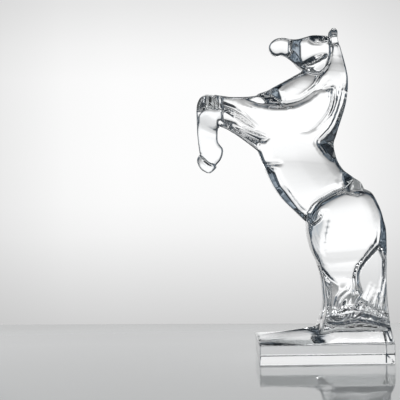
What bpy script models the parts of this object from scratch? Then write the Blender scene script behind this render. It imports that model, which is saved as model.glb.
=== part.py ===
"""Rearing horse of clear crystal, cast in one with its rectangular plinth.

The horse faces -X and shows its near side to -Y. The origin is the centre of the plinth's
underside, +Z is up and lengths are in metres.
"""
from math import copysign, cos, hypot, pi

import bmesh
import bpy
from mathutils import Vector

# driving dimensions
PLINTH_LENGTH = 0.093
PLINTH_DEPTH = 0.072
PLINTH_HEIGHT = 0.014
PLINTH_ROUNDING = 0.0007
FIGURE_HEIGHT = 0.2195
CROWN_MARGIN = 0.0003

# The figure is drawn on a grid of its own: its cross-sections are shares of FIGURE_HEIGHT.
# GRID_TOP is the level of the ear tips, GRID_SEAT that of the plinth's top, and GRID_MIDDLE
# the place along the grid of the plinth's centre.
GRID_TOP = 235.0
GRID_SEAT = 15.5
GRID_MIDDLE = -0.1
GRID_STEP = FIGURE_HEIGHT / (GRID_TOP - GRID_SEAT)

# fineness of the skin
RING_POINTS = 32
STEPS_PER_SECTION = 4
SKIN_VOXEL = 0.0013
SKIN_SMOOTHING = 3
SKIN_SHARE_KEPT = 0.10
CREASE_RADIUS = 1.0


def clear_scene():
    """Take away whatever the scene holds."""
    for item in list(bpy.data.objects):
        bpy.data.objects.remove(item, do_unlink=True)


def collection(name):
    """A new collection, linked to the scene."""
    group = bpy.data.collections.new(name)
    bpy.context.scene.collection.children.link(group)
    return group


def crystal():
    """Clear, colourless lead crystal with a fire-polished surface."""
    material = bpy.data.materials.new("clear_crystal")
    material.use_nodes = True
    shader = material.node_tree.nodes["Principled BSDF"]
    shader.inputs["Base Color"].default_value = (0.97, 0.98, 0.985, 1.0)
    shader.inputs["Metallic"].default_value = 0.0
    shader.inputs["Roughness"].default_value = 0.02
    shader.inputs["IOR"].default_value = 1.545
    shader.inputs["Transmission Weight"].default_value = 1.0
    return material


def on_grid(x, z, y=0.0):
    """A point of the figure's grid in metres."""
    return Vector(((x - GRID_MIDDLE) * GRID_STEP, y * GRID_STEP,
                   PLINTH_HEIGHT + (z - GRID_SEAT) * GRID_STEP))


def between(before, start, end, after, t):
    """A value on the Catmull-Rom curve from start to end."""
    slope_in = (end - before) / 2
    slope_out = (after - start) / 2
    rise = end - start
    return start + t * (slope_in + t * (3 * rise - 2 * slope_in - slope_out
                                        + t * (slope_in + slope_out - 2 * rise)))


def smooth_run(sections):
    """The sections with even steps of a smooth curve between each two."""
    run = []
    last = len(sections) - 1
    for index in range(last):
        four = (sections[max(index - 1, 0)], sections[index],
                sections[index + 1], sections[min(index + 2, last)])
        for step in range(STEPS_PER_SECTION):
            t = step / STEPS_PER_SECTION
            run.append([between(*values, t) for values in zip(*four)])
    run.append(list(sections[last]))
    return run


def cross_section(mesh, front_x, front_z, back_x, back_z, half_depth, side, squareness):
    """A ring between two points of the side outline, rounded off across its depth."""
    front = on_grid(front_x, front_z, side)
    back = on_grid(back_x, back_z, side)
    centre = (front + back) / 2
    reach = (front - back) / 2
    ring = bmesh.ops.create_circle(mesh, segments=RING_POINTS, radius=1.0)["verts"]
    for vert in ring:
        along, across = (copysign(abs(part) ** (2 / squareness), part) for part in vert.co.xy)
        vert.co = centre + reach * along
        vert.co.y += half_depth * across * GRID_STEP
    return ring


def loft(mesh, sections, squareness, side=0.0):
    """A closed mass through sections of front x, front z, back x, back z, half depth
    and, on a mass off the middle plane, the distance of its centre from that plane."""
    rings = []
    for values in smooth_run(sections):
        offset = side * values[5] if side else 0.0
        rings.append(cross_section(mesh, *values[:5], offset, squareness))
    for one, other in zip(rings, rings[1:]):
        for index in range(RING_POINTS):
            after = (index + 1) % RING_POINTS
            mesh.faces.new((one[index], one[after], other[after], other[index]))
    mesh.faces.new(rings[0])
    mesh.faces.new(rings[-1])


def bulge(mesh, x, z, y, radius_x, radius_z, radius_y):
    """A rounded swelling, such as a brow."""
    ball = bmesh.ops.create_uvsphere(mesh, u_segments=24, v_segments=16, radius=1.0)["verts"]
    size = Vector((radius_x, radius_y, radius_z)) * GRID_STEP
    for vert in ball:
        vert.co = on_grid(x, z, y) + vert.co * size


def head(mesh):
    """Broad cheeks, a dished bridge and a blunt muzzle."""
    loft(mesh, (
        (6.4, 227.0, 6.6, 213.0, 13.4),
        (4.8, 229.0, 5.2, 208.0, 14.8),
        (1.0, 229.9, 1.6, 203.0, 15.2),
        (-4.0, 230.2, -4.0, 201.5, 15.2),
        (-9.0, 229.1, -9.5, 203.6, 15.0),
        (-14.0, 227.7, -14.0, 206.8, 14.2),
        (-17.5, 227.3, -18.0, 210.4, 10.6),
        (-21.5, 227.8, -22.0, 213.8, 7.6),
        (-26.0, 228.7, -26.5, 216.4, 7.4),
        (-30.5, 228.2, -30.5, 215.8, 7.6),
        (-33.6, 226.4, -33.6, 217.0, 7.4),
        (-35.4, 224.2, -35.4, 219.2, 6.8),
        (-36.1, 222.6, -36.1, 220.8, 6.0)), squareness=6.0)


def brows(mesh, side):
    """The brow over one eye, the highest point of the face."""
    bulge(mesh, -1.5, 226.4, side * 7.0, 6.2, 4.1, 5.0)


def ear(mesh, side):
    """A short, upright ear with a round tip, set against the crest."""
    loft(mesh, (
        (5.5, 216.0, 13.4, 215.0, 3.6, 5.6),
        (6.2, 224.0, 12.6, 224.0, 3.2, 5.6),
        (6.4, 229.0, 12.2, 229.5, 2.9, 5.4),
        (7.0, 232.6, 12.4, 232.8, 2.4, 5.2),
        (8.8, 235.0, 10.6, 235.0, 1.0, 5.1)), squareness=5.0, side=side)


def neck(mesh):
    """The throat side of the neck, which is thinner than the shoulder behind it."""
    loft(mesh, (
        (-2.0, 224.0, 12.0, 229.0, 8.0),
        (-6.0, 214.0, 15.6, 216.0, 10.4),
        (-12.6, 205.4, 18.0, 205.0, 11.6),
        (-20.0, 201.0, 19.0, 195.0, 13.0),
        (-29.0, 196.2, 18.0, 185.0, 13.8),
        (-38.0, 191.4, 15.2, 175.0, 14.4),
        (-45.5, 188.4, 12.3, 165.0, 14.6),
        (-47.0, 181.0, 10.0, 157.0, 14.6)), squareness=6.0)


def breast(mesh):
    """The front of the chest, which fills the space between the forearms."""
    loft(mesh, (
        (-34.0, 189.0, -30.0, 146.0, 16.9),
        (-44.0, 188.2, -42.0, 148.0, 17.2),
        (-51.0, 187.4, -50.0, 154.4, 17.0),
        (-58.0, 187.2, -57.0, 160.4, 16.4),
        (-64.0, 187.4, -63.0, 165.8, 15.0),
        (-70.0, 187.8, -68.0, 172.0, 12.0)), squareness=8.0)


def shoulder_and_barrel(mesh):
    """The broad, nearly flat body from the crest over the shoulder down to the flank."""
    loft(mesh, (
        (6.6, 222.0, 13.4, 223.0, 12.2),
        (5.4, 213.0, 16.1, 213.0, 13.2),
        (2.4, 206.4, 18.0, 205.0, 14.4),
        (-1.4, 200.8, 18.9, 198.0, 15.2),
        (-6.8, 193.8, 18.4, 188.0, 15.9),
        (-16.4, 187.6, 16.4, 178.0, 16.5),
        (-30.0, 184.8, 12.8, 167.0, 16.9),
        (-45.0, 181.0, 9.6, 157.0, 17.3),
        (-48.0, 163.0, 9.0, 149.0, 17.8),
        (-44.5, 147.0, 10.8, 141.5, 18.4),
        (-40.0, 136.5, 15.4, 134.5, 19.0),
        (-34.8, 125.0, 22.4, 129.5, 19.5),
        (-28.0, 114.8, 26.8, 126.0, 19.8),
        (-19.0, 105.6, 29.0, 121.6, 19.8),
        (-12.4, 99.0, 30.5, 116.0, 19.8)), squareness=8.0)


def haunch(mesh):
    """The croup and thighs, and a web that flares from them down to the plinth."""
    loft(mesh, (
        (4.0, 116.8, 24.0, 123.0, 23.0),
        (-2.5, 113.0, 33.2, 119.6, 23.6),
        (-9.0, 105.0, 38.0, 112.0, 24.0),
        (-10.8, 96.0, 41.4, 103.0, 24.0),
        (-9.6, 87.0, 43.3, 92.0, 23.8),
        (-7.0, 77.0, 43.7, 81.0, 22.8),
        (-2.0, 67.0, 43.9, 70.0, 20.8),
        (3.5, 58.0, 44.1, 59.0, 19.2),
        (6.0, 50.0, 44.4, 50.0, 19.2),
        (6.0, 42.0, 44.7, 42.0, 20.0),
        (6.0, 34.0, 45.4, 34.0, 20.8),
        (5.0, 28.0, 46.0, 28.0, 21.4),
        (4.0, 22.0, 46.0, 22.0, 21.4)), squareness=8.0)


def hind_leg(mesh, side):
    """A hind leg, which stands out from the web's front and is flush with its side."""
    loft(mesh, (
        (2.0, 96.0, 30.0, 96.0, 9.0, 11.0),
        (-6.4, 84.0, 30.0, 84.0, 10.4, 11.4),
        (-5.0, 76.0, 30.0, 76.0, 10.4, 11.4),
        (-2.4, 67.0, 28.0, 67.0, 9.0, 11.8),
        (0.0, 58.0, 26.0, 58.0, 8.2, 11.0),
        (0.8, 50.0, 24.0, 50.0, 8.2, 11.0),
        (1.5, 42.0, 22.0, 42.0, 8.6, 11.4),
        (0.8, 35.0, 22.0, 35.0, 9.0, 11.8),
        (-1.4, 28.0, 22.0, 28.0, 9.4, 12.0),
        (-3.6, 22.0, 22.0, 22.0, 9.6, 12.0),
        (-5.0, 16.0, 22.0, 16.0, 9.6, 12.0)), squareness=7.0, side=side)


def tail(mesh):
    """A full tail that runs down from the croup and widens towards the plinth."""
    loft(mesh, (
        (35.0, 107.0, 42.0, 104.0, 6.0),
        (36.5, 95.0, 44.8, 94.0, 9.6),
        (36.0, 83.0, 45.1, 83.0, 12.4),
        (32.0, 71.0, 44.9, 71.0, 14.6),
        (28.6, 59.0, 44.6, 59.0, 15.6),
        (26.6, 47.0, 44.8, 47.0, 15.8),
        (24.0, 36.0, 45.4, 36.0, 17.0),
        (20.0, 28.0, 46.0, 28.0, 18.4),
        (16.0, 20.0, 46.3, 20.0, 19.0)), squareness=6.0)


def foreleg(mesh, side, arm):
    """A bent foreleg from the elbow over the knee down to the hoof. The arm's sections are
    its own."""
    shin = (
        (-87.2, 158.0, -72.8, 155.4, 5.8, 9.0),
        (-86.4, 150.6, -69.4, 150.4, 6.4, 9.0),
        (-86.0, 147.8, -71.0, 143.6, 6.2, 9.0),
        (-84.6, 146.0, -75.4, 138.8, 5.6, 9.0))
    hoof = (
        (-85.6, 147.4, -73.8, 138.2, 6.0, 9.0),
        (-88.0, 143.6, -76.0, 135.9, 6.8, 9.0),
        (-86.6, 138.6, -78.8, 133.9, 6.8, 9.0),
        (-84.4, 136.0, -81.4, 134.2, 6.0, 9.0))
    loft(mesh, arm + shin, squareness=8.0, side=side)
    loft(mesh, hoof, squareness=8.0, side=side)


def forelegs(mesh):
    """The near foreleg, and the far one, whose forearm is carried a little higher."""
    foreleg(mesh, -1.0, (
        (-35.0, 160.0, -34.0, 149.0, 5.0, 9.6),
        (-43.0, 163.8, -43.0, 148.0, 5.8, 10.6),
        (-50.0, 168.2, -50.5, 153.2, 6.6, 11.0),
        (-58.0, 173.0, -59.0, 159.6, 6.9, 10.4),
        (-66.0, 177.0, -67.0, 164.6, 6.8, 9.8),
        (-75.0, 179.4, -71.0, 166.2, 6.6, 9.4),
        (-82.0, 178.6, -72.2, 166.6, 6.8, 9.2),
        (-86.6, 174.0, -72.8, 165.0, 6.8, 9.0),
        (-87.6, 166.0, -73.2, 160.4, 6.0, 9.0)))
    foreleg(mesh, 1.0, (
        (-35.0, 184.0, -34.0, 158.0, 5.0, 9.6),
        (-43.0, 187.0, -43.0, 161.6, 5.8, 10.6),
        (-50.0, 187.0, -50.5, 164.5, 6.6, 11.0),
        (-58.0, 187.4, -59.0, 168.4, 6.9, 10.4),
        (-66.0, 188.5, -67.0, 171.0, 6.8, 9.8),
        (-75.0, 189.6, -71.0, 171.4, 6.6, 9.4),
        (-83.0, 189.2, -72.2, 170.6, 6.8, 9.2),
        (-87.4, 183.0, -72.8, 169.4, 6.8, 9.0),
        (-87.8, 172.0, -73.2, 164.4, 6.0, 9.0)))


def crown(mesh):
    """The plinth's top slopes up like a low roof to a wavy ridge, and a flared mound carries
    the feet."""
    rim = (PLINTH_LENGTH / 2 - CROWN_MARGIN) / GRID_STEP
    half_depth = (PLINTH_DEPTH / 2 - CROWN_MARGIN) / GRID_STEP
    loft(mesh, tuple(
        (GRID_MIDDLE + share * rim, GRID_SEAT + swell, GRID_MIDDLE + share * rim,
         GRID_SEAT - swell, half_depth)
        for share, swell in ((-1.0, 2.2), (-0.55, 5.4), (-0.15, 8.2), (-0.04, 10.5),
                             (0.08, 14.0), (0.2, 16.0), (0.4, 15.2), (0.6, 16.4), (0.8, 15.0),
                             (1.0, 15.4))), squareness=1.15)
    loft(mesh, tuple(
        (front, GRID_SEAT + level, GRID_MIDDLE + rim, GRID_SEAT + level, half_depth * width)
        for front, level, width in (
            (-0.6, 13.7, 0.504), (-1.6, 11.7, 0.538), (-3.0, 8.7, 0.577), (-4.4, 5.9, 0.605),
            (-5.4, 1.5, 0.622), (-5.4, -4.5, 0.622))), squareness=12.0)


def near_line(point, line):
    """From a point of the side view to a line: the distance, positive on the line's right
    hand, and the share of the line passed there."""
    best = None
    spans = len(line) - 1
    for index, ((x0, z0), (x1, z1)) in enumerate(zip(line, line[1:])):
        run_x = x1 - x0
        run_z = z1 - z0
        off_x = point[0] - x0
        off_z = point[1] - z0
        length = hypot(run_x, run_z)
        t = min(max((off_x * run_x + off_z * run_z) / length ** 2, 0.0), 1.0)
        gap = hypot(off_x - t * run_x, off_z - t * run_z)
        across = (off_x * run_z - off_z * run_x) / length
        order = (round(gap, 6), -abs(across))
        if best is None or order < best[0]:
            best = (order, copysign(gap, across), (index + t) / spans)
    return best[1:]


def beside(mesh, line, reach):
    """The vertices near a line of the side view, each with its distance and share."""
    for vert in mesh.verts:
        x = vert.co.x / GRID_STEP + GRID_MIDDLE
        z = (vert.co.z - PLINTH_HEIGHT) / GRID_STEP + GRID_SEAT
        gap, passed = near_line((x, z), line)
        if abs(gap) < reach:
            yield vert, gap, passed


def left_at(passed, ends):
    """How much of a cut is left at a share of its line: it fades out at the two ends."""
    start = min(passed / ends[0], 1.0) if ends[0] else 1.0
    end = min((1.0 - passed) / ends[1], 1.0) if ends[1] else 1.0
    return start * end


def chamfer(mesh, line, edge, slope, ends, floor=0.0, reach=16.0, lead=2.0):
    """Cut a slanting face into both sides on the right hand of a line. The face starts at the
    half depths given for even steps along the line and stops at a floor. A slope below zero
    opens outwards from the line instead, as an undercut. The crease is rounded off from a
    lead before the line."""
    steps = len(edge) - 1
    for vert, gap, passed in beside(mesh, line, reach):
        step = min(int(passed * steps), steps - 1)
        start = edge[step] + (edge[step + 1] - edge[step]) * (passed * steps - step)
        fall = (gap + hypot(gap, CREASE_RADIUS)) / 2.0
        limit = max(start - slope * fall, floor) * GRID_STEP
        excess = abs(vert.co.y) - limit
        if gap > -lead and excess > 0.0:
            vert.co.y -= copysign(excess * left_at(passed, ends), vert.co.y)


def groove(mesh, line, width, depth, ends=(0.0, 0.3)):
    """Cut a rounded groove along a line into both sides."""
    for vert, gap, passed in beside(mesh, line, width):
        cut = depth * (1.0 + cos(pi * gap / width)) / 2.0 * left_at(passed, ends) * GRID_STEP
        vert.co.y -= copysign(min(cut, abs(vert.co.y) / 2), vert.co.y)


def outline_faces(mesh):
    """The slanting faces along the crest, belly, croup, saddle and throat."""
    chamfer(mesh, ((9.5, 142.0), (6.0, 143.5), (2.5, 147.0), (0.0, 150.8), (-2.5, 154.3),
                   (1.5, 158.5), (5.0, 162.0), (8.5, 166.5), (11.0, 171.0), (13.0, 175.5),
                   (15.0, 181.0), (16.8, 188.0), (18.0, 195.0), (18.3, 204.0)),
            (17.4, 15.6, 14.0), 1.5, ends=(0.04, 0.12))
    chamfer(mesh, ((-45.0, 147.0), (-41.0, 141.2), (-36.0, 136.5), (-33.5, 134.5),
                   (-31.5, 129.0), (-29.5, 124.5), (-26.0, 120.5), (-21.5, 114.0),
                   (-17.0, 108.0), (-13.0, 104.5), (-10.0, 104.5)),
            (17.6, 19.0), 1.25, ends=(0.06, 0.04))
    chamfer(mesh, ((34.0, 78.0), (36.4, 81.5), (37.6, 86.0), (38.5, 92.0), (38.3, 100.0),
                   (37.4, 107.0), (35.2, 112.5), (31.5, 117.0), (26.5, 119.8), (22.5, 119.6),
                   (18.5, 120.3), (15.2, 122.5), (15.0, 124.5), (13.4, 127.5), (12.8, 131.0),
                   (13.2, 137.0)),
            (23.4, 23.6, 23.8, 23.4, 19.6, 19.3, 19.1), 1.4, ends=(0.08, 0.06))
    chamfer(mesh, ((-10.0, 205.6), (-20.0, 199.0), (-27.0, 194.6), (-30.0, 191.5),
                   (-28.8, 188.0), (-27.5, 184.5), (-30.0, 182.0), (-37.0, 182.6),
                   (-46.0, 187.0)), (13.0, 14.4), 1.3, ends=(0.08, 0.1))


def body_steps(mesh):
    """The step from shoulder to neck, the flank's ridge, the thigh, the sunken tail, the
    hollow over the mound and the slope over the near knee."""
    chamfer(mesh, ((6.0, 206.0), (3.5, 200.0), (1.0, 196.0), (-1.5, 192.8), (-5.0, 189.4),
                   (-10.0, 185.6), (-15.0, 182.8), (-20.0, 181.0), (-25.0, 180.2),
                   (-30.0, 180.1), (-35.0, 180.4), (-40.0, 181.0), (-45.0, 182.0),
                   (-52.0, 184.0), (-60.0, 186.5)),
            (14.4, 16.6, 17.0), 4.0, ends=(0.06, 0.14), floor=14.2, reach=12.0)
    chamfer(mesh, ((28.0, 120.6), (22.0, 119.8), (16.0, 118.9), (10.0, 116.7), (5.0, 114.2),
                   (0.0, 111.5), (-5.0, 107.8), (-10.5, 99.5)),
            (23.8, 23.8), 1.3, ends=(0.12, 0.02), floor=19.4, reach=6.0)
    chamfer(mesh, ((-4.0, 104.8), (0.5, 105.2), (1.0, 101.0), (0.0, 96.0), (-1.3, 89.0),
                   (-2.0, 82.0), (-1.5, 77.0), (1.0, 71.0), (3.5, 67.0), (6.5, 63.0),
                   (9.5, 59.5), (11.2, 55.0), (11.6, 51.0)),
            (23.4, 21.0), 0.3, ends=(0.04, 0.2), reach=13.0)
    chamfer(mesh, ((20.0, 40.0), (24.5, 46.0), (26.0, 48.5), (24.2, 52.0), (23.2, 57.0),
                   (23.4, 62.0), (25.4, 67.0), (30.0, 73.0), (34.0, 77.0), (38.5, 82.0)),
            (23.6, 23.6), 12.0, ends=(0.1, 0.03), floor=16.4, reach=25.0)
    chamfer(mesh, ((47.5, 24.6), (42.0, 26.0), (38.0, 27.0), (30.0, 28.8), (20.0, 29.2),
                   (12.0, 27.4), (8.0, 27.2), (4.0, 28.4), (0.0, 29.4)),
            (12.4, 11.0, 10.6, 14.0), -1.4, ends=(0.03, 0.06), floor=9.0, reach=8.0, lead=0.2)
    chamfer(mesh, ((-70.0, 179.5), (-75.0, 178.4), (-80.0, 179.2), (-88.0, 177.6)),
            (16.0, 16.0), 1.3, ends=(0.1, 0.0), floor=2.0, reach=11.0, lead=1.0)


def cheek_faces(mesh):
    """The wedge under the cheek, the slope over the brow and the cheek's rear edge."""
    groove(mesh, ((-15.0, 208.6), (-11.0, 210.4), (-7.0, 212.0), (-3.0, 213.0), (1.0, 214.2),
                  (6.0, 216.0)), 3.1, 5.0, ends=(0.0, 0.5))
    chamfer(mesh, ((6.0, 227.4), (4.0, 225.4), (0.0, 224.4), (-5.0, 225.0), (-8.6, 227.0)),
            (15.2, 15.2), 2.2, ends=(0.05, 0.05), reach=7.0, lead=0.4)
    groove(mesh, ((6.4, 229.5), (6.9, 224.0), (7.1, 219.0), (6.6, 214.0), (5.4, 210.0),
                  (3.6, 206.3), (1.5, 203.5), (-1.0, 202.0)), 2.0, 1.6, ends=(0.0, 0.1))


def grooves(mesh):
    """The carved lines that show from a step away."""
    groove(mesh, ((8.0, 192.6), (7.5, 188.0), (7.0, 183.0), (5.5, 178.0), (3.5, 174.0),
                  (0.0, 169.5), (-5.0, 164.8), (-10.0, 162.0), (-17.0, 161.5)), 2.2, 1.8,
           ends=(0.0, 0.6))
    groove(mesh, ((8.0, 192.6), (3.0, 191.6), (-1.0, 190.4)), 2.0, 1.4)
    groove(mesh, ((-70.0, 180.2), (-62.0, 179.0), (-55.0, 174.6), (-47.0, 168.2), (-41.0, 162.6)),
           2.6, 2.6, ends=(0.2, 0.5))
    groove(mesh, ((-62.0, 164.8), (-55.0, 160.8), (-50.0, 157.6), (-45.0, 155.4), (-38.0, 156.6)),
           2.0, 1.6, ends=(0.2, 0.3))
    groove(mesh, ((17.6, 49.0), (13.4, 44.6), (10.6, 40.0), (10.4, 33.0)), 2.0, 2.0,
           ends=(0.1, 0.5))
    for strand in (((25.0, 33.0), (30.0, 40.0), (35.5, 52.0)),
                   ((33.4, 36.0), (36.0, 45.0), (37.0, 49.5)),
                   ((38.2, 28.0), (39.0, 40.0), (43.0, 60.0))):
        groove(mesh, strand, 2.2, 2.6, ends=(0.0, 0.5))


def skin():
    """All masses of the figure, which end half way down the plinth, melted into one smooth
    surface, then cut and engraved."""
    mesh = bmesh.new()
    head(mesh)
    neck(mesh)
    breast(mesh)
    shoulder_and_barrel(mesh)
    haunch(mesh)
    tail(mesh)
    crown(mesh)
    forelegs(mesh)
    for side in (-1.0, 1.0):
        hind_leg(mesh, side)
        brows(mesh, side)
        ear(mesh, side)
    for vert in mesh.verts:
        vert.co.z = max(vert.co.z, PLINTH_HEIGHT / 2)
    bmesh.ops.recalc_face_normals(mesh, faces=mesh.faces)
    data = bpy.data.meshes.new("masses")
    mesh.to_mesh(data)
    mesh.free()
    masses = bpy.data.objects.new("masses", data)
    bpy.context.scene.collection.objects.link(masses)
    melt = masses.modifiers.new("melt", "REMESH")
    melt.mode = "VOXEL"
    melt.voxel_size = SKIN_VOXEL
    soften = masses.modifiers.new("soften", "SMOOTH")
    soften.factor = 0.5
    soften.iterations = SKIN_SMOOTHING
    evaluated = masses.evaluated_get(bpy.context.evaluated_depsgraph_get())
    melted = bmesh.new()
    melted.from_mesh(evaluated.to_mesh())
    evaluated.to_mesh_clear()
    bpy.data.objects.remove(masses, do_unlink=True)
    outline_faces(melted)
    body_steps(melted)
    cheek_faces(melted)
    grooves(melted)
    surface = bpy.data.meshes.new("rearing_horse")
    melted.to_mesh(surface)
    melted.free()
    return surface


def plinth_block(group):
    """The rectangular block that the horse is cast with."""
    mesh = bmesh.new()
    bmesh.ops.create_cube(mesh, size=1.0)
    for vert in mesh.verts:
        vert.co = Vector((vert.co.x * PLINTH_LENGTH, vert.co.y * PLINTH_DEPTH,
                          (vert.co.z + 0.5) * PLINTH_HEIGHT))
    bmesh.ops.bevel(mesh, geom=mesh.edges[:], offset=PLINTH_ROUNDING, offset_type="OFFSET",
                    affect="EDGES", segments=2, profile=0.5, material=-1)
    data = bpy.data.meshes.new("plinth_block")
    mesh.to_mesh(data)
    mesh.free()
    block = bpy.data.objects.new("plinth_block", data)
    block.hide_render = True
    block.display_type = "WIRE"
    group.objects.link(block)
    return block


def main():
    """Build the horse with its plinth as one cast piece."""
    clear_scene()
    parts = collection("crystal_rearing_horse")
    guides = collection("guides")
    horse = bpy.data.objects.new("rearing_horse", skin())
    parts.objects.link(horse)
    horse.data.materials.append(crystal())
    thin = horse.modifiers.new("thin_out", "DECIMATE")
    thin.ratio = SKIN_SHARE_KEPT
    join = horse.modifiers.new("join_plinth", "BOOLEAN")
    join.operation = "UNION"
    join.solver = "EXACT"
    join.object = plinth_block(guides)


main()
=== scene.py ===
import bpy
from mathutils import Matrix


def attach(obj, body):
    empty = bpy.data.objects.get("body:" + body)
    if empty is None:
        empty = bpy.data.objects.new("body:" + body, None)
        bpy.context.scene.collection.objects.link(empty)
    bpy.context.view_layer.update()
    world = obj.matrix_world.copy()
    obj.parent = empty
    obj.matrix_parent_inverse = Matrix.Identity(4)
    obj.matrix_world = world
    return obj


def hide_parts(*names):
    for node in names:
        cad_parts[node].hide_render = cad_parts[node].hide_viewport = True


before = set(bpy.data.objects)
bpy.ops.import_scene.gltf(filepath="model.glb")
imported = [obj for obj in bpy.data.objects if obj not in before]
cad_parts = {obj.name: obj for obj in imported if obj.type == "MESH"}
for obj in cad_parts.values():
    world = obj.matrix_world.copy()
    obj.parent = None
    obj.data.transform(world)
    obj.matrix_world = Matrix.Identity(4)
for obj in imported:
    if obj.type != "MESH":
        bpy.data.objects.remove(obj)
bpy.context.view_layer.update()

from math import copysign, cos, hypot, pi, radians, sin

import bmesh
import bpy
from mathutils import Matrix, Vector

scene = bpy.context.scene

# Camera: at the height of the chest, square to the side of the horse and a little ahead of
# it, so that the horse stands in the right half of the picture.
EYE = Vector((-0.0861, -0.94, 0.1410))
EYE_PITCH = radians(-1.68)
EYE_ROLL = radians(-0.84)
EYE_WIDTH = radians(17.2)

camera_data = bpy.data.cameras.new("camera")
camera_data.sensor_width = 36.0
camera_data.angle = EYE_WIDTH
camera_data.clip_start = 0.05
camera_data.clip_end = 20.0
camera = bpy.data.objects.new("camera", camera_data)
camera.matrix_world = (Matrix.Translation(EYE)
                       @ Matrix.Rotation(radians(90.0) + EYE_PITCH, 4, "X")
                       @ Matrix.Rotation(EYE_ROLL, 4, "Z"))
scene.collection.objects.link(camera)
scene.camera = camera
scene.view_settings.view_transform = "Standard"

# Studio light: a pale wall behind the horse, a pale panel behind the camera, a white panel
# beyond each end of the horse, and a soft light overhead. The slate gaps between them are
# what the clear glass picks up as its dark bands and edges.
STUDIO_TURN = radians(4.5)
SLATE_SCALE = 9.0
SLATE_DETAIL = 3.0
SLATE_ROUGHNESS = 0.6
SLATE_TONES = ((0.43, (0.003, 0.004, 0.006, 1.0)), (0.50, (0.04, 0.055, 0.072, 1.0)),
               (0.57, (0.12, 0.155, 0.19, 1.0)), (0.65, (0.38, 0.44, 0.50, 1.0)))
GAP_DARK = (0.012, 0.016, 0.021, 1.0)
END_WHITE = (1.0, 1.0, 1.0, 1.0)
OVERHEAD_GLOW = (6.0, 6.0, 6.0, 1.0)
PANEL_PALE = (0.7, 0.71, 0.72, 1.0)
WALL_SHADE = (0.45, 0.45, 0.45, 1.0)
# Angles in degrees, each with a strength or tone there.
GAP_ANGLES = ((-27, 0.95), (-21, 0.0), (21, 0.0), (27, 0.92), (52, 0.92), (57, 0.0))
OVERHEAD_ANGLES = ((67, 0.0), (74, 1.0))
WALL_ANGLES = ((68, 0.0), (74, 1.0))
PANEL_ANGLES = ((-74, 1.0), (-68, 0.0))
WALL_IN_GLASS = ((-20, 0.08), (-15, 0.28), (-10, 0.46), (-7, 0.57), (-5, 0.77), (-3.2, 1.0),
                 (-1, 1.12), (4, 1.12), (7, 0.92), (12, 0.80), (20, 0.76))
WALL_SEEN = ((-60, 0.45), (-12, 0.52), (-7, 0.645), (-5.6, 0.735), (-4.35, 0.823),
             (-3.05, 0.915), (-1.7, 0.965), (0, 0.98), (3.5, 0.98), (5, 0.92), (6.9, 0.80),
             (60, 0.7))
# Shares of the way out to either side, from 0 to 1.
END_PANELS = ((cos(radians(20)), 0.0), (cos(radians(15)), 1.0))
WALL_SIDES = ((0.06, 0.0), (0.10, 0.06), (0.15, 0.28))

studio = bpy.data.worlds.new("studio")
scene.world = studio
studio.use_nodes = True
tree = studio.node_tree
tree.nodes.clear()


def world_node(kind, **settings):
    """A node of the studio's light."""
    node = tree.nodes.new(kind)
    for name, value in settings.items():
        setattr(node, name, value)
    return node


def ramp(node, stops):
    """Set a colour ramp's stops as (position, grey or colour)."""
    band = node.color_ramp
    while len(band.elements) > 1:
        band.elements.remove(band.elements[-1])
    for index, (place, colour) in enumerate(stops):
        stop = band.elements[0] if index == 0 else band.elements.new(place)
        stop.position = place
        stop.color = colour if isinstance(colour, tuple) else (colour, colour, colour, 1.0)


def tones(output, stops):
    """A colour ramp over an output that runs from 0 to 1."""
    band = world_node("ShaderNodeValToRGB")
    ramp(band, stops)
    tree.links.new(output, band.inputs["Fac"])
    return band.outputs["Color"]


def tones_by_angle(output, stops):
    """A colour ramp over one part of the direction, with its stops at angles from the plane
    square to that part."""
    spread = world_node("ShaderNodeMapRange")
    spread.inputs["From Min"].default_value = -1.0
    spread.inputs["From Max"].default_value = 1.0
    tree.links.new(output, spread.inputs["Value"])
    return tones(spread.outputs[0], [(0.5 + 0.5 * sin(radians(angle)), tone)
                                     for angle, tone in stops])


def tones_both_sides(output, stops):
    """A colour ramp over the size of one part of the direction, so that both sides match."""
    size = world_node("ShaderNodeMath", operation="ABSOLUTE")
    tree.links.new(output, size.inputs[0])
    return tones(size.outputs[0], stops)


def layer(below, above, factor):
    """One light laid over another."""
    mix = world_node("ShaderNodeMix", data_type="RGBA")
    tree.links.new(below, mix.inputs["A"])
    if isinstance(above, tuple):
        mix.inputs["B"].default_value = above
    else:
        tree.links.new(above, mix.inputs["B"])
    tree.links.new(factor, mix.inputs["Factor"])
    return mix.outputs["Result"]


toward = world_node("ShaderNodeTexCoord")
turned = world_node("ShaderNodeVectorRotate", rotation_type="Z_AXIS")
turned.inputs["Angle"].default_value = STUDIO_TURN
tree.links.new(toward.outputs["Generated"], turned.inputs["Vector"])
split = world_node("ShaderNodeSeparateXYZ")
tree.links.new(turned.outputs["Vector"], split.inputs["Vector"])
streaks = world_node("ShaderNodeTexNoise")
streaks.inputs["Scale"].default_value = SLATE_SCALE
streaks.inputs["Detail"].default_value = SLATE_DETAIL
streaks.inputs["Roughness"].default_value = SLATE_ROUGHNESS
tree.links.new(toward.outputs["Generated"], streaks.inputs["Vector"])

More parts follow.
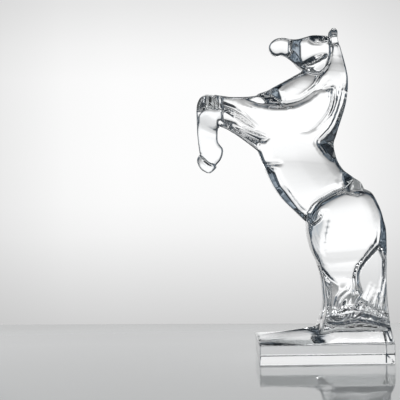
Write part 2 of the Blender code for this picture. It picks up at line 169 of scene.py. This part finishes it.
# what the glass picks up: slate, the gaps, the ends, the overhead light, the wall, the panel
lit = tones(streaks.outputs["Fac"], SLATE_TONES)
lit = layer(lit, GAP_DARK, tones_by_angle(split.outputs["Z"], GAP_ANGLES))
lit = layer(lit, END_WHITE, tones_both_sides(split.outputs["X"], END_PANELS))
lit = layer(lit, OVERHEAD_GLOW, tones_by_angle(split.outputs["Z"], OVERHEAD_ANGLES))
lit = layer(lit, tones_by_angle(split.outputs["Z"], WALL_IN_GLASS),
            tones_by_angle(split.outputs["Y"], WALL_ANGLES))
lit = layer(lit, PANEL_PALE, tones_by_angle(split.outputs["Y"], PANEL_ANGLES))

# what shows past the horse: the wall, brightest at the height of the eye and dimmer to the sides
ahead = world_node("ShaderNodeSeparateXYZ")
tree.links.new(toward.outputs["Generated"], ahead.inputs["Vector"])
wall = layer(tones_by_angle(split.outputs["Z"], WALL_SEEN), WALL_SHADE,
             tones_both_sides(ahead.outputs["X"], WALL_SIDES))
seen = world_node("ShaderNodeLightPath")
glow = world_node("ShaderNodeBackground")
tree.links.new(layer(lit, wall, seen.outputs["Is Camera Ray"]), glow.inputs["Color"])
out = world_node("ShaderNodeOutputWorld")
tree.links.new(glow.outputs["Background"], out.inputs["Surface"])

# Table: a flat board under a pale, glossy lacquer, which mirrors the plinth, with painted shade
# in its colour that darkens it towards the far edge. The horse stands loose on it, and its far
# edge shows as a line behind the horse.
TABLE_SIZE = (0.9, 0.42, 0.02)
TABLE_MIDDLE = (0.0, -0.01, -0.0103)
TABLE_TURN = radians(-5.0)
TABLE_ROUNDING = 0.002
LACQUER_MOTTLE_SCALE = 7.0
LACQUER_MOTTLE_SHIFT = 0.06
# lacquer tones over the distance back: painted shade, darker towards the table's far edge
LACQUER_TONES_AND_PAINTED_SHADE = ((0.0, (0.37, 0.38, 0.378, 1.0)), (0.12, (0.39, 0.40, 0.397, 1.0)),
                 (0.19, (0.33, 0.34, 0.338, 1.0)), (0.23, (0.20, 0.206, 0.205, 1.0)))

table_mesh = bmesh.new()
bmesh.ops.create_cube(table_mesh, size=1.0)
bmesh.ops.scale(table_mesh, vec=TABLE_SIZE, verts=table_mesh.verts)
bmesh.ops.translate(table_mesh, vec=TABLE_MIDDLE, verts=table_mesh.verts)
bmesh.ops.rotate(table_mesh, cent=(0.0, 0.0, 0.0), matrix=Matrix.Rotation(TABLE_TURN, 3, "Z"),
                 verts=table_mesh.verts)
bmesh.ops.bevel(table_mesh, geom=table_mesh.edges[:], offset=TABLE_ROUNDING,
                offset_type="OFFSET", affect="EDGES", segments=3, profile=0.5, material=-1)
table_data = bpy.data.meshes.new("table_top")
table_mesh.to_mesh(table_data)
table_mesh.free()
table_top = bpy.data.objects.new("table_top", table_data)
scene.collection.objects.link(table_top)

lacquer = bpy.data.materials.new("pale_lacquer")
lacquer.use_nodes = True
coats = lacquer.node_tree.nodes
join_coats = lacquer.node_tree.links.new
gloss = coats["Principled BSDF"]
gloss.inputs["Roughness"].default_value = 0.04
gloss.inputs["IOR"].default_value = 1.7
place = coats.new("ShaderNodeTexCoord")
mottle = coats.new("ShaderNodeTexNoise")
mottle.inputs["Scale"].default_value = LACQUER_MOTTLE_SCALE
join_coats(place.outputs["Object"], mottle.inputs["Vector"])
split_place = coats.new("ShaderNodeSeparateXYZ")
join_coats(place.outputs["Object"], split_place.inputs["Vector"])
distance = coats.new("ShaderNodeMath")
distance.operation = "MULTIPLY_ADD"
distance.inputs[1].default_value = LACQUER_MOTTLE_SHIFT
join_coats(mottle.outputs["Fac"], distance.inputs[0])
join_coats(split_place.outputs["Y"], distance.inputs[2])
# painted shade: the lacquer's colour darkens towards the table's far edge, and the noise makes
# the tone uneven
tone_and_painted_shade = coats.new("ShaderNodeValToRGB")
ramp(tone_and_painted_shade, LACQUER_TONES_AND_PAINTED_SHADE)
join_coats(distance.outputs[0], tone_and_painted_shade.inputs["Fac"])
join_coats(tone_and_painted_shade.outputs["Color"], gloss.inputs["Base Color"])
table_data.materials.append(lacquer)

# Rearing horse, its tail and its plinth: one solid casting of clear, colourless crystal. The
# feet and the tail run into the plinth with no joint. The figure is fire-polished all over,
# its lines are cut in, and the plinth's faces are ground flat with fine bevels.
PLINTH_LENGTH = 0.093
PLINTH_DEPTH = 0.072
PLINTH_HEIGHT = 0.014
PLINTH_ROUNDING = 0.0007
CROWN_MARGIN = 0.0003
# The figure is laid out in millimetres on a grid seen from the side, x towards the tail and
# z upwards. The plinth's block has its middle and its top at these places of the grid.
GRID_STEP = 0.001
GRID_MIDDLE = -0.1
GRID_SEAT = 15.5
RING_POINTS = 32
STEPS_PER_SECTION = 4
SKIN_VOXEL = 0.00081
SKIN_SMOOTHING = 3
EVENING_PASSES = 2
CREASE_RADIUS = 1.0
DEEPEST_CUT = 0.6
SHARP_EDGE = radians(60.0)
FLAT_FACE = 0.99999
CRYSTAL_TONES = ((0.35, (0.975, 0.984, 0.99, 1.0)), (0.65, (0.988, 0.992, 0.994, 1.0)))
CRYSTAL_TONE_SCALE = 24.0


def on_grid(x, z, y=0.0):
    """A point of the figure's grid in metres."""
    return Vector(((x - GRID_MIDDLE) * GRID_STEP, y * GRID_STEP,
                   PLINTH_HEIGHT + (z - GRID_SEAT) * GRID_STEP))


def between(before, start, end, after, t):
    """A value on the Catmull-Rom curve from start to end."""
    slope_in = (end - before) / 2
    slope_out = (after - start) / 2
    rise = end - start
    return start + t * (slope_in + t * (3 * rise - 2 * slope_in - slope_out
                                        + t * (slope_in + slope_out - 2 * rise)))


def smooth_run(sections):
    """The sections with even steps of a smooth curve between each two."""
    run = []
    last = len(sections) - 1
    for index in range(last):
        four = (sections[max(index - 1, 0)], sections[index],
                sections[index + 1], sections[min(index + 2, last)])
        for step in range(STEPS_PER_SECTION):
            t = step / STEPS_PER_SECTION
            run.append([between(*values, t) for values in zip(*four)])
    run.append(list(sections[last]))
    return run


def cross_section(mesh, front_x, front_z, back_x, back_z, half_depth, side, squareness):
    """A ring between two points of the side outline, rounded off across its depth."""
    front = on_grid(front_x, front_z, side)
    back = on_grid(back_x, back_z, side)
    centre = (front + back) / 2
    reach = (front - back) / 2
    ring = bmesh.ops.create_circle(mesh, segments=RING_POINTS, radius=1.0)["verts"]
    for vert in ring:
        along, across = (copysign(abs(part) ** (2 / squareness), part) for part in vert.co.xy)
        vert.co = centre + reach * along
        vert.co.y += half_depth * across * GRID_STEP
    return list({edge for vert in ring for edge in vert.link_edges})


def loft(mesh, sections, squareness, side=0.0):
    """A closed mass through sections of front x, front z, back x, back z, half depth
    and, on a mass off the middle plane, the distance of its centre from that plane."""
    rings = []
    for values in smooth_run(sections):
        offset = side * values[5] if side else 0.0
        rings.append(cross_section(mesh, *values[:5], offset, squareness))
    for one, other in zip(rings, rings[1:]):
        bmesh.ops.bridge_loops(mesh, edges=one + other)
    for end in (rings[0], rings[-1]):
        bmesh.ops.contextual_create(mesh, geom=end)


def bulge(mesh, x, z, y, radius_x, radius_z, radius_y):
    """A rounded swelling, such as a brow."""
    ball = bmesh.ops.create_uvsphere(mesh, u_segments=24, v_segments=16, radius=1.0)["verts"]
    size = Vector((radius_x, radius_y, radius_z)) * GRID_STEP
    for vert in ball:
        vert.co = on_grid(x, z, y) + vert.co * size


def foreleg(mesh, side, arm):
    """A bent foreleg from the elbow over the knee down to the hoof."""
    shin = (
        (-87.2, 158.0, -72.8, 155.4, 6.1, 9.0),
        (-86.4, 150.6, -69.4, 150.4, 6.1, 9.0),
        (-86.0, 147.8, -71.0, 143.6, 6.1, 9.0),
        (-84.6, 146.0, -75.4, 138.8, 6.0, 9.0))
    hoof = (
        (-85.6, 147.4, -73.8, 138.2, 6.0, 9.0),
        (-88.0, 143.6, -76.0, 135.9, 6.8, 9.0),
        (-86.6, 138.6, -78.8, 133.9, 6.8, 9.0),
        (-84.4, 136.0, -81.4, 134.2, 6.0, 9.0))
    loft(mesh, arm + shin, squareness=8.0, side=side)
    loft(mesh, hoof, squareness=8.0, side=side)


def near_line(point, line):
    """From a point of the side view to a line: the distance, positive on the line's right
    hand, and the share of the line passed there."""
    best = None
    spans = len(line) - 1
    for index, ((x0, z0), (x1, z1)) in enumerate(zip(line, line[1:])):
        run_x, run_z = x1 - x0, z1 - z0
        off_x, off_z = point[0] - x0, point[1] - z0
        length = hypot(run_x, run_z)
        t = min(max((off_x * run_x + off_z * run_z) / length ** 2, 0.0), 1.0)
        gap = hypot(off_x - t * run_x, off_z - t * run_z)
        across = (off_x * run_z - off_z * run_x) / length
        order = (round(gap, 6), -abs(across))
        if best is None or order < best[0]:
            best = (order, copysign(gap, across), (index + t) / spans)
    return best[1:]


def beside(mesh, line, reach):
    """The vertices near a line of the side view, each with its distance and share."""
    low_x, high_x = min(x for x, z in line) - reach, max(x for x, z in line) + reach
    low_z, high_z = min(z for x, z in line) - reach, max(z for x, z in line) + reach
    for vert in mesh.verts:
        x = vert.co.x / GRID_STEP + GRID_MIDDLE
        z = (vert.co.z - PLINTH_HEIGHT) / GRID_STEP + GRID_SEAT
        if low_x < x < high_x and low_z < z < high_z:
            gap, passed = near_line((x, z), line)
            if abs(gap) < reach:
                yield vert, gap, passed


def fade_out(passed, ends):
    """How much of a cut is left at a share of its line."""
    left = min(passed / ends[0], 1.0) if ends[0] else 1.0
    right = min((1.0 - passed) / ends[1], 1.0) if ends[1] else 1.0
    return left * right


def part_way(values, passed):
    """A value at a share of a line, from values given for even steps along it."""
    steps = len(values) - 1
    step = min(int(passed * steps), steps - 1)
    return values[step] + (values[step + 1] - values[step]) * (passed * steps - step)


def chamfer(mesh, line, edge, slope, floor=0.0, reach=16.0, ends=(0.0, 0.0), lead=2.0):
    """Cut a slanting face into both sides on the right hand of a line. The face starts at the
    half depths given for even steps along the line and stops at a floor. Its rounded edge
    begins no further ahead of the line than the lead. A slope below zero opens outwards from
    the line instead, as an undercut."""
    for vert, gap, passed in beside(mesh, line, reach):
        if gap > -lead:
            fall = (gap + hypot(gap, CREASE_RADIUS)) / 2.0
            limit = max(part_way(edge, passed) - slope * fall, floor) * GRID_STEP
            excess = abs(vert.co.y) - limit
            if excess > 0.0:
                vert.co.y -= copysign(excess * fade_out(passed, ends), vert.co.y)


def cut_in(vert, cut):
    """Move a point of the skin inwards by a cut, up to the deepest share of its half depth."""
    vert.co.y -= copysign(min(cut, DEEPEST_CUT * abs(vert.co.y)), vert.co.y)


def groove(mesh, line, width, depth, ends=(0.0, 0.3)):
    """Cut a soft, rounded groove along a line into both sides."""
    for vert, gap, passed in beside(mesh, line, width):
        cut = depth * (1.0 + cos(pi * gap / width)) / 2.0 * fade_out(passed, ends) * GRID_STEP
        cut_in(vert, cut)


def notch(mesh, line, widths, slope=1.35):
    """Cut a V-shaped notch along a line into both sides, with half widths given for even
    steps along the line."""
    for vert, gap, passed in beside(mesh, line, max(widths)):
        half = part_way(widths, passed)
        cut_in(vert, slope * max(half - abs(gap), 0.0) * GRID_STEP)


masses = bmesh.new()
# head, from the poll to the muzzle
loft(masses, (
    (6.4, 227.0, 6.6, 213.0, 13.4),
    (4.8, 229.0, 5.2, 208.0, 14.8),
    (1.0, 229.9, 1.6, 203.0, 15.2),
    (-4.0, 230.2, -4.0, 201.5, 15.2),
    (-9.0, 229.1, -9.5, 203.6, 15.0),
    (-14.0, 227.7, -14.0, 206.8, 14.2),
    (-17.5, 227.3, -18.0, 210.4, 10.6),
    (-21.5, 227.8, -22.0, 213.8, 7.6),
    (-26.0, 228.7, -26.5, 216.4, 7.4),
    (-30.5, 228.2, -30.5, 215.8, 7.6),
    (-33.6, 226.4, -33.6, 217.0, 7.4),
    (-35.4, 224.2, -35.4, 219.2, 6.8),
    (-36.1, 222.6, -36.1, 220.8, 6.0)), squareness=6.0)
for side in (-1.0, 1.0):
    # brows and ears
    bulge(masses, -1.5, 226.4, side * 7.0, 6.2, 4.1, 5.0)
    loft(masses, (
        (5.5, 216.0, 13.4, 215.0, 3.6, 5.6),
        (6.2, 224.0, 12.6, 224.0, 3.2, 5.6),
        (6.4, 229.0, 12.2, 229.5, 2.9, 5.4),
        (7.0, 232.6, 12.4, 232.8, 2.4, 5.2),
        (8.8, 235.0, 10.6, 235.0, 1.0, 5.1)), squareness=5.0, side=side)
# neck
loft(masses, (
    (-2.0, 224.0, 12.0, 229.0, 8.0),
    (-6.0, 214.0, 15.6, 216.0, 10.4),
    (-12.6, 205.4, 18.0, 205.0, 11.6),
    (-20.0, 201.0, 19.0, 195.0, 13.6),
    (-29.0, 196.2, 18.0, 185.0, 14.6),
    (-38.0, 191.4, 15.2, 175.0, 15.2),
    (-45.5, 188.4, 12.3, 165.0, 15.4),
    (-47.0, 181.0, 10.0, 157.0, 15.4)), squareness=6.0)
# breast, filled in between the forearms
loft(masses, (
    (-34.0, 189.0, -30.0, 146.0, 16.9),
    (-44.0, 188.2, -42.0, 148.0, 17.2),
    (-51.0, 187.4, -50.0, 154.4, 17.0),
    (-58.0, 187.2, -57.0, 160.4, 16.4),
    (-64.0, 187.4, -63.0, 165.8, 15.0),
    (-70.0, 187.8, -68.0, 172.0, 12.0)), squareness=8.0)
# shoulder and barrel
loft(masses, (
    (6.6, 222.0, 13.4, 223.0, 12.2),
    (5.4, 213.0, 16.1, 213.0, 13.2),
    (2.4, 206.4, 18.0, 205.0, 14.4),
    (-1.4, 200.8, 18.9, 198.0, 15.2),
    (-6.8, 193.8, 18.4, 188.0, 15.9),
    (-16.4, 187.6, 16.4, 178.0, 16.5),
    (-30.0, 184.8, 12.8, 167.0, 16.9),
    (-45.0, 181.0, 9.6, 157.0, 17.3),
    (-48.0, 163.0, 9.0, 149.0, 17.8),
    (-44.5, 147.0, 10.8, 141.5, 18.4),
    (-40.0, 136.5, 15.4, 134.5, 19.0),
    (-34.8, 125.0, 22.4, 129.5, 19.5),
    (-28.0, 114.8, 26.8, 126.0, 19.8),
    (-19.0, 105.6, 29.0, 121.6, 19.8),
    (-12.4, 99.0, 30.5, 116.0, 19.8)), squareness=8.0)
# haunch, and the web of glass from the hind legs back to the tail
loft(masses, (
    (4.0, 116.8, 24.0, 123.0, 23.0),
    (-2.5, 113.0, 33.2, 119.6, 23.6),
    (-9.0, 105.0, 38.0, 112.0, 24.0),
    (-10.8, 96.0, 41.4, 103.0, 24.0),
    (-9.6, 87.0, 43.3, 92.0, 23.8),
    (-7.0, 77.0, 43.7, 81.0, 22.8),
    (-2.0, 67.0, 43.9, 70.0, 20.8),
    (3.5, 58.0, 44.1, 59.0, 19.2),
    (6.0, 50.0, 44.4, 50.0, 19.2),
    (6.0, 42.0, 44.7, 42.0, 20.0),
    (6.0, 34.0, 45.4, 34.0, 20.8),
    (5.0, 28.0, 46.0, 28.0, 21.4),
    (4.0, 22.0, 46.0, 22.0, 21.4)), squareness=8.0)
# hind legs
for side in (-1.0, 1.0):
    loft(masses, (
        (2.0, 96.0, 30.0, 96.0, 9.0, 11.0),
        (-6.4, 84.0, 30.0, 84.0, 10.4, 11.4),
        (-5.0, 76.0, 30.0, 76.0, 10.4, 11.4),
        (-2.4, 67.0, 28.0, 67.0, 9.0, 11.8),
        (0.0, 58.0, 26.0, 58.0, 8.2, 11.0),
        (0.8, 50.0, 24.0, 50.0, 8.2, 11.0),
        (1.5, 42.0, 22.0, 42.0, 8.6, 11.4),
        (0.8, 35.0, 22.0, 35.0, 9.0, 11.8),
        (-1.4, 28.0, 22.0, 28.0, 9.4, 12.0),
        (-3.6, 22.0, 22.0, 22.0, 9.6, 12.0),
        (-5.0, 16.0, 22.0, 16.0, 9.6, 12.0)), squareness=12.0, side=side)
# tail
loft(masses, (
    (35.0, 107.0, 42.0, 104.0, 6.0),
    (36.5, 95.0, 44.8, 94.0, 9.6),
    (36.0, 83.0, 45.1, 83.0, 12.4),
    (32.0, 71.0, 44.9, 71.0, 14.6),
    (28.6, 59.0, 44.6, 59.0, 15.6),
    (26.6, 47.0, 44.8, 47.0, 15.8),
    (24.0, 36.0, 45.4, 36.0, 17.0),
    (20.0, 28.0, 46.0, 28.0, 18.4),
    (16.0, 20.0, 46.3, 20.0, 19.0)), squareness=6.0)
# near foreleg
foreleg(masses, -1.0, (
    (-35.0, 160.0, -34.0, 149.0, 5.0, 9.6),
    (-43.0, 163.8, -43.0, 148.0, 5.8, 10.6),
    (-50.0, 168.2, -50.5, 153.2, 6.6, 11.0),
    (-58.0, 173.0, -59.0, 159.6, 6.9, 10.4),
    (-66.0, 177.0, -67.0, 164.6, 6.8, 9.8),
    (-75.0, 179.4, -71.0, 166.2, 6.6, 9.4),
    (-82.0, 178.6, -72.2, 166.6, 6.8, 9.2),
    (-86.6, 174.0, -72.8, 165.0, 6.8, 9.0),
    (-87.6, 166.0, -73.2, 160.4, 6.0, 9.0)))
# far foreleg, carried higher
foreleg(masses, 1.0, (
    (-35.0, 184.0, -34.0, 158.0, 5.0, 9.6),
    (-43.0, 187.0, -43.0, 161.6, 5.8, 10.6),
    (-50.0, 187.0, -50.5, 164.5, 6.6, 11.0),
    (-58.0, 187.4, -59.0, 168.4, 6.9, 10.4),
    (-66.0, 188.5, -67.0, 171.0, 6.8, 9.8),
    (-75.0, 189.6, -71.0, 171.4, 6.6, 9.4),
    (-83.0, 189.2, -72.2, 170.6, 6.8, 9.2),
    (-87.4, 183.0, -72.8, 169.4, 6.8, 9.0),
    (-87.8, 172.0, -73.2, 164.4, 6.0, 9.0)))
# crown, the raised and roof-like top of the plinth
rim = (PLINTH_LENGTH / 2 - CROWN_MARGIN) / GRID_STEP
rim_depth = (PLINTH_DEPTH / 2 - CROWN_MARGIN) / GRID_STEP
loft(masses, tuple(
    (GRID_MIDDLE + share * rim, GRID_SEAT + swell, GRID_MIDDLE + share * rim, GRID_SEAT - swell,
     rim_depth)
    for share, swell in ((-1.0, 2.2), (-0.55, 5.4), (-0.15, 8.2), (-0.04, 10.5), (0.08, 14.0),
                         (0.2, 16.0), (0.4, 15.2), (0.6, 16.4), (0.8, 15.0), (1.0, 15.4))),
    squareness=1.15)
# mound of glass under the feet
loft(masses, tuple(
    (front, GRID_SEAT + rise, GRID_MIDDLE + rim, GRID_SEAT + rise, rim_depth * width)
    for front, rise, width in (
        (-0.6, 13.7, 0.504), (-1.6, 11.7, 0.538), (-3.0, 8.7, 0.577), (-4.4, 5.9, 0.605),
        (-5.4, 1.5, 0.622), (-5.4, -4.5, 0.622))), squareness=12.0)
# nothing of the figure reaches below the middle of the plinth's block
for vert in masses.verts:
    vert.co.z = max(vert.co.z, PLINTH_HEIGHT / 2)
bmesh.ops.recalc_face_normals(masses, faces=masses.faces)

# the masses melt into one skin
masses_data = bpy.data.meshes.new("masses")
masses.to_mesh(masses_data)
masses.free()
masses_object = bpy.data.objects.new("masses", masses_data)
scene.collection.objects.link(masses_object)
melt = masses_object.modifiers.new("melt", "REMESH")
melt.mode = "VOXEL"
melt.voxel_size = SKIN_VOXEL
soften = masses_object.modifiers.new("soften", "SMOOTH")
soften.factor = 0.5
soften.iterations = SKIN_SMOOTHING
evaluated = masses_object.evaluated_get(bpy.context.evaluated_depsgraph_get())
skin = bmesh.new()
skin.from_mesh(evaluated.to_mesh())
evaluated.to_mesh_clear()
bpy.data.objects.remove(masses_object, do_unlink=True)

# faces along the outline: crest, belly, rump, throat and croup
crest = ((9.5, 142.0), (6.0, 143.5), (2.5, 147.0), (0.0, 150.8), (-2.5, 154.3), (1.5, 158.5),
         (5.0, 162.0), (8.1, 166.5), (10.2, 171.0), (12.0, 175.5), (13.8, 181.0), (15.5, 188.0),
         (16.8, 195.0), (17.5, 204.0))
belly = ((-45.0, 147.0), (-41.0, 141.2), (-36.0, 136.5), (-33.5, 134.5), (-31.5, 129.0),
         (-29.5, 124.5), (-26.0, 120.5), (-21.5, 114.0), (-17.0, 108.0), (-13.0, 104.5),
         (-10.0, 104.5))
rump = ((34.0, 78.0), (36.4, 81.5), (37.6, 86.0), (38.5, 92.0), (38.3, 100.0), (37.4, 107.0),
        (35.2, 112.5), (31.5, 117.0), (26.5, 119.8), (22.5, 119.6), (18.5, 120.3), (15.2, 122.5),
        (15.0, 124.5), (13.4, 127.5), (12.8, 131.0), (13.2, 137.0))
throat = ((-10.0, 205.6), (-20.0, 199.0), (-27.0, 194.6), (-30.0, 191.5), (-28.8, 188.0),
          (-27.5, 184.5), (-30.0, 182.0), (-37.0, 182.6), (-46.0, 187.0))
ridge = ((28.0, 120.6), (22.0, 119.8), (16.0, 118.9), (10.0, 116.7), (5.0, 114.2),
         (0.0, 111.5), (-5.0, 107.8), (-10.5, 99.5))
chamfer(skin, crest, (17.4, 15.6, 14.0), 1.5, ends=(0.04, 0.12))
chamfer(skin, belly, (17.6, 19.0), 1.25, ends=(0.06, 0.04))
chamfer(skin, rump, (23.4, 23.6, 23.8, 23.4, 19.6, 19.3, 19.1), 1.4, ends=(0.08, 0.06))
chamfer(skin, throat, (13.4, 15.0), 1.3, ends=(0.08, 0.1))
chamfer(skin, ridge, (23.8, 23.8), 1.3, floor=19.4, reach=6.0, ends=(0.12, 0.02))
# top of the knees
knee = ((-70.0, 179.5), (-75.0, 178.4), (-80.0, 179.2), (-88.0, 177.6))
chamfer(skin, knee, (16.0, 16.0), 1.3, floor=2.0, reach=11.0, ends=(0.1, 0.0), lead=1.0)
# neck below the shoulder's line
chest = ((6.0, 206.0), (3.5, 200.0), (1.0, 196.0), (-1.5, 192.8), (-5.0, 189.4), (-10.0, 185.6),
         (-15.0, 182.8), (-20.0, 181.0), (-25.0, 180.2), (-30.0, 180.1), (-35.0, 180.4),
         (-40.0, 181.0), (-45.0, 182.0), (-52.0, 184.0), (-60.0, 186.5))
chamfer(skin, chest, (14.4, 16.6, 17.0), 4.0, floor=15.1, reach=12.0, ends=(0.06, 0.14))
# front of the thigh
thigh = ((-4.0, 104.8), (0.5, 105.2), (1.0, 101.0), (0.0, 96.0), (-1.3, 89.0), (-2.0, 82.0),
         (-1.5, 77.0), (1.0, 71.0), (3.5, 67.0), (6.5, 63.0), (9.5, 59.5), (11.2, 55.0),
         (11.6, 51.0))
chamfer(skin, thigh, (23.4, 21.0), 0.62, floor=16.5, reach=13.0, ends=(0.04, 0.2))
# tail, set back behind the thigh
thigh_rear = ((20.0, 40.0), (24.5, 46.0), (26.0, 48.5), (24.2, 52.0), (23.2, 57.0), (23.4, 62.0),
              (25.4, 67.0), (30.0, 73.0), (34.0, 77.0), (38.5, 82.0))
chamfer(skin, thigh_rear, (23.6, 23.6), 12.0, floor=16.4, reach=25.0, ends=(0.1, 0.03))
# hollow over the mound
hem = ((47.5, 24.6), (42.0, 26.0), (38.0, 27.0), (30.0, 28.8), (20.0, 29.2), (12.0, 27.4),
       (8.0, 27.2), (4.0, 28.4), (0.0, 29.4))
chamfer(skin, hem, (12.4, 11.0, 10.6, 14.0), -1.4, floor=9.0, reach=8.0,
        ends=(0.03, 0.06), lead=0.2)
# cheek and brow
cheek = ((5.0, 215.6), (1.0, 213.8), (-3.0, 211.2), (-7.0, 209.4), (-11.0, 208.2),
         (-15.5, 207.2))
chamfer(skin, cheek, (14.2, 11.4, 9.0, 8.8, 9.6, 10.6), -1.4, floor=7.0, reach=7.0,
        ends=(0.1, 0.04), lead=0.2)
brow = ((6.0, 227.4), (4.0, 225.4), (0.0, 224.4), (-5.0, 225.0), (-8.6, 227.0))
chamfer(skin, brow, (15.2, 15.2), 2.2, reach=7.0, ends=(0.05, 0.05), lead=0.4)
# line behind the jaw
jaw_line = ((6.4, 229.5), (6.9, 224.0), (7.1, 219.0), (6.6, 214.0), (5.4, 210.0), (3.6, 206.3),
            (1.5, 203.5), (-1.0, 202.0))
groove(skin, jaw_line, 1.5, 1.6, ends=(0.0, 0.1))
# folds behind the elbow and at the root of the neck
elbow_fold = ((-42.0, 139.5), (-36.0, 139.6), (-28.0, 140.0))
groove(skin, elbow_fold, 1.8, 1.6)
neck_fold = ((-28.5, 182.0), (-22.0, 182.6), (-15.0, 184.2), (-9.5, 187.4), (-5.0, 191.4),
             (-3.0, 193.4))
groove(skin, neck_fold, 1.3, 0.9)
# cut lines of the forearms
for line, widths in (
        (((-69.0, 181.6), (-62.0, 178.8), (-55.0, 174.2), (-47.0, 167.6), (-41.0, 162.6)),
         (1.8, 2.2, 1.6, 1.0, 0.4)),
        (((-67.0, 176.6), (-60.0, 173.4), (-50.0, 167.2), (-42.5, 162.2)),
         (0.4, 0.9, 0.9, 0.5)),
        (((-62.0, 165.2), (-55.0, 161.6), (-50.0, 158.8), (-45.0, 156.6), (-40.5, 156.2),
          (-37.6, 158.0)),
         (0.5, 1.7, 2.0, 1.9, 1.7, 0.6)),
        (((-60.0, 167.2), (-55.0, 165.2), (-48.0, 162.8), (-41.0, 160.2), (-37.5, 158.2)),
         (0.4, 0.9, 1.1, 1.1, 0.5))):
    notch(skin, line, widths)
# folds of the shoulder, and the line over the hooves
shoulder_fold = ((8.0, 192.6), (7.5, 188.0), (7.0, 183.0), (5.5, 178.0), (3.5, 174.0),
                 (0.0, 169.5), (-5.0, 164.8), (-10.0, 162.0), (-17.0, 161.5))
groove(skin, shoulder_fold, 1.7, 1.8, ends=(0.0, 0.6))
withers_fold = ((8.0, 192.6), (3.0, 191.6), (-1.0, 190.4))
groove(skin, withers_fold, 1.5, 1.4)
hoof_line = ((-86.0, 147.5), (-83.0, 144.0), (-80.0, 141.3), (-75.5, 138.5))
groove(skin, hoof_line, 1.3, 1.0)
# cut lines of the hocks, then of the tail's strands
for line, widths in (
        (((18.7, 60.5), (19.6, 54.0), (18.6, 47.5), (17.0, 43.0)), (0.3, 0.9, 1.9, 0.6)),
        (((18.2, 49.8), (14.0, 45.6), (11.6, 42.0), (9.8, 36.0), (8.0, 31.0)),
         (0.6, 1.7, 1.9, 1.5, 0.8)),
        (((-2.2, 66.5), (0.5, 62.5), (5.5, 57.6), (8.6, 54.6), (10.6, 51.0)),
         (0.4, 1.0, 1.1, 1.2, 0.4)),
        (((22.0, 29.0), (26.5, 34.0), (30.0, 40.0), (33.2, 47.0), (35.2, 53.5)),
         (1.6, 1.8, 1.5, 1.0, 0.3)),
        (((32.6, 31.0), (34.4, 38.0), (36.0, 44.0), (37.0, 50.0)), (1.4, 1.3, 0.9, 0.3)),
        (((38.6, 27.0), (40.0, 36.0), (41.4, 46.0), (43.4, 60.0)), (1.5, 1.3, 1.1, 0.3))):
    notch(skin, line, widths)
# the cuts are evened out in depth alone, so that the outline stays
for _ in range(EVENING_PASSES):
    bmesh.ops.smooth_vert(skin, verts=skin.verts, factor=0.5, use_axis_x=False,
                          use_axis_y=True, use_axis_z=False)

horse_data = bpy.data.meshes.new("crystal_horse")
skin.to_mesh(horse_data)
skin.free()
horse = bpy.data.objects.new("crystal_horse", horse_data)
scene.collection.objects.link(horse)

# the plinth's block, joined to the figure as one solid
block = bmesh.new()
bmesh.ops.create_cube(block, size=1.0)
bmesh.ops.translate(block, vec=(0.0, 0.0, 0.5), verts=block.verts)
bmesh.ops.scale(block, vec=(PLINTH_LENGTH, PLINTH_DEPTH, PLINTH_HEIGHT), verts=block.verts)
bmesh.ops.bevel(block, geom=block.edges[:], offset=PLINTH_ROUNDING, offset_type="OFFSET",
                affect="EDGES", segments=3, profile=0.5, material=-1)
block_data = bpy.data.meshes.new("plinth_block")
block.to_mesh(block_data)
block.free()
block_object = bpy.data.objects.new("plinth_block", block_data)
scene.collection.objects.link(block_object)
join = horse.modifiers.new("join_plinth", "BOOLEAN")
join.operation = "UNION"
join.solver = "EXACT"
join.object = block_object
evaluated = horse.evaluated_get(bpy.context.evaluated_depsgraph_get())
joined = bpy.data.meshes.new_from_object(evaluated)
horse.modifiers.clear()
horse.data = joined
joined.name = "crystal_horse"
bpy.data.objects.remove(block_object, do_unlink=True)
joined.shade_smooth()
joined.set_sharp_from_angle(angle=SHARP_EDGE)
for face in joined.polygons:
    if max(abs(part) for part in face.normal) > FLAT_FACE:
        face.use_smooth = False

# clear crystal, whose faint cool tone is a little uneven, as in any melt
crystal = bpy.data.materials.new("clear_crystal")
crystal.use_nodes = True
melt_nodes = crystal.node_tree.nodes
join_melt = crystal.node_tree.links.new
glass = melt_nodes["Principled BSDF"]
melt_place = melt_nodes.new("ShaderNodeTexCoord")
melt_noise = melt_nodes.new("ShaderNodeTexNoise")
melt_noise.inputs["Scale"].default_value = CRYSTAL_TONE_SCALE
melt_noise.inputs["Detail"].default_value = 2.0
join_melt(melt_place.outputs["Object"], melt_noise.inputs["Vector"])
melt_tone = melt_nodes.new("ShaderNodeValToRGB")
ramp(melt_tone, CRYSTAL_TONES)
join_melt(melt_noise.outputs["Fac"], melt_tone.inputs["Fac"])
join_melt(melt_tone.outputs["Color"], glass.inputs["Base Color"])
glass.inputs["Metallic"].default_value = 0.0
glass.inputs["Roughness"].default_value = 0.0
glass.inputs["IOR"].default_value = 1.545
glass.inputs["Transmission Weight"].default_value = 1.0
joined.materials.clear()
joined.materials.append(crystal)
# clear glass in soft light throws no shadow on the table
horse.visible_shadow = False
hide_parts("rearing_horse")
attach(horse, "root")
